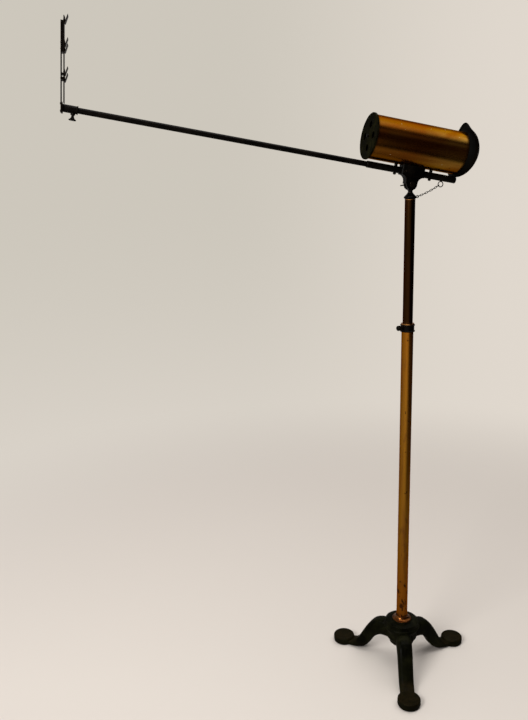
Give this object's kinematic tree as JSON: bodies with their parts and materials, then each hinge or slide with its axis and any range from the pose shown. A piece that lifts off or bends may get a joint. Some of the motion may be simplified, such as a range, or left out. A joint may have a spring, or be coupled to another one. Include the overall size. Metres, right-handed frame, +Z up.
{
  "type": "diploscope",
  "caption": "Floor-standing diploscope: sight tube with eye hood and turning aperture disc on a telescoping tripod column, with a long rod carrying a card rack",
  "frame": {"origin": "on the floor, on the column's axis", "axes": "+Z up along the column, -X towards the card rack, +X towards the eye end, Y along the tilt axis"},
  "size_m": [1.0122, 0.3664, 1.6841],
  "materials": {
    "base_iron": "matt, worn",
    "black_lacquer": "satin, worn",
    "sight_copper": "lacquered, mottled",
    "column_copper": "lacquered, spotted",
    "mast_bronze": "dark patina",
    "brass": "worn",
    "steel": "dull"
  },
  "bodies": {
    "base": {"tripod_base": "base_iron", "base_flange": "brass", "base_washer": "steel", "base_bolt": "steel", "column_plug": "brass", "outer_column": "column_copper", "slide_collar": "black_lacquer", "collar_bush": "brass"},
    "clamp_pad": {"clamp_pad": "brass"},
    "clamp_screw": {"clamp_screw": "brass"},
    "mast": {"inner_column": "mast_bronze", "mast_guide": "brass", "swivel_socket": "brass", "swivel_washer": "brass"},
    "head": {"swivel_post": "black_lacquer", "spindle_nut": "steel", "chain_staple": "steel"},
    "arm": {"saddle_bracket": "black_lacquer", "saddle_pin": "steel", "pivot_bolt": "steel", "support_bar": "black_lacquer", "tube_spacers": "black_lacquer", "tube_screws": "steel", "tube_nuts": "steel", "sight_tube": "sight_copper", "front_ring": "black_lacquer", "rear_ring": "black_lacquer", "eye_hood": "black_lacquer", "chain_eye": "steel", "tilt_chain": "steel", "target_rod": "black_lacquer", "rod_set_screw": "steel", "rod_plug": "brass"},
    "wing_nut": {"wing_nut": "steel"},
    "disc": {"aperture_disc": "black_lacquer", "disc_knob": "black_lacquer", "keeper_ring": "steel"},
    "carrier": {"carrier_sleeve": "black_lacquer", "rack_back": "black_lacquer", "rack_front": "black_lacquer", "rack_spacers": "black_lacquer", "rack_screws": "steel", "card_ledges": "mast_bronze", "ledge_rivets": "brass"},
    "carrier_pad": {"carrier_pad": "brass"},
    "carrier_screw": {"carrier_screw": "brass"}
  },
  "joints": [
    {"name": "mast_slide", "type": "slide", "parent": "base", "child": "mast", "axis": [0, 0, 1], "range_m": [-0.3, 0.12]},
    {"name": "head_swivel", "type": "hinge", "parent": "mast", "child": "head", "pos_m": [0, 0, 1.285], "axis": [0, 0, 1], "continuous": true},
    {"name": "arm_tilt", "type": "hinge", "parent": "head", "child": "arm", "pos_m": [0, 0, 1.32], "axis": [0, 1, 0], "range_deg": [0, 20], "deforming": ["tilt_chain"]},
    {"name": "disc_turn", "type": "hinge", "parent": "arm", "child": "disc", "pos_m": [-0.10466, 0, 1.43351], "axis": [0.9825, 0, -0.1865], "continuous": true},
    {"name": "wing_nut_turn", "type": "hinge", "parent": "arm", "child": "wing_nut", "pos_m": [0, 0.0145, 1.32], "axis": [0, 1, 0], "range_deg": [0, 180]},
    {"name": "carrier_slide", "type": "slide", "parent": "arm", "child": "carrier", "axis": [0.9825, 0, -0.1865], "range_m": [0, 0.6]},
    {"name": "carrier_pad_travel", "type": "slide", "parent": "carrier", "child": "carrier_pad", "axis": [-0.1865, 0, -0.9825], "range_m": [0, 0.0021]},
    {"name": "carrier_screw_turn", "type": "hinge", "parent": "carrier_pad", "child": "carrier_screw", "pos_m": [-0.78012, 0, 1.48389], "axis": [-0.1865, 0, -0.9825], "range_deg": [0, 720]},
    {"name": "clamp_pad_travel", "type": "slide", "parent": "base", "child": "clamp_pad", "axis": [-0.9272, -0.3746, 0], "range_m": [0, 0.0021]},
    {"name": "clamp_screw_turn", "type": "hinge", "parent": "clamp_pad", "child": "clamp_screw", "pos_m": [-0.01715, -0.00693, 0.969], "axis": [-0.9272, -0.3746, 0], "range_deg": [0, 720]}
  ],
  "couplings": [
    {"joint": "carrier_pad_travel", "follows": "carrier_screw_turn", "m_per_rad": 0.00015915},
    {"joint": "clamp_pad_travel", "follows": "clamp_screw_turn", "m_per_rad": 0.00015915}
  ]
}
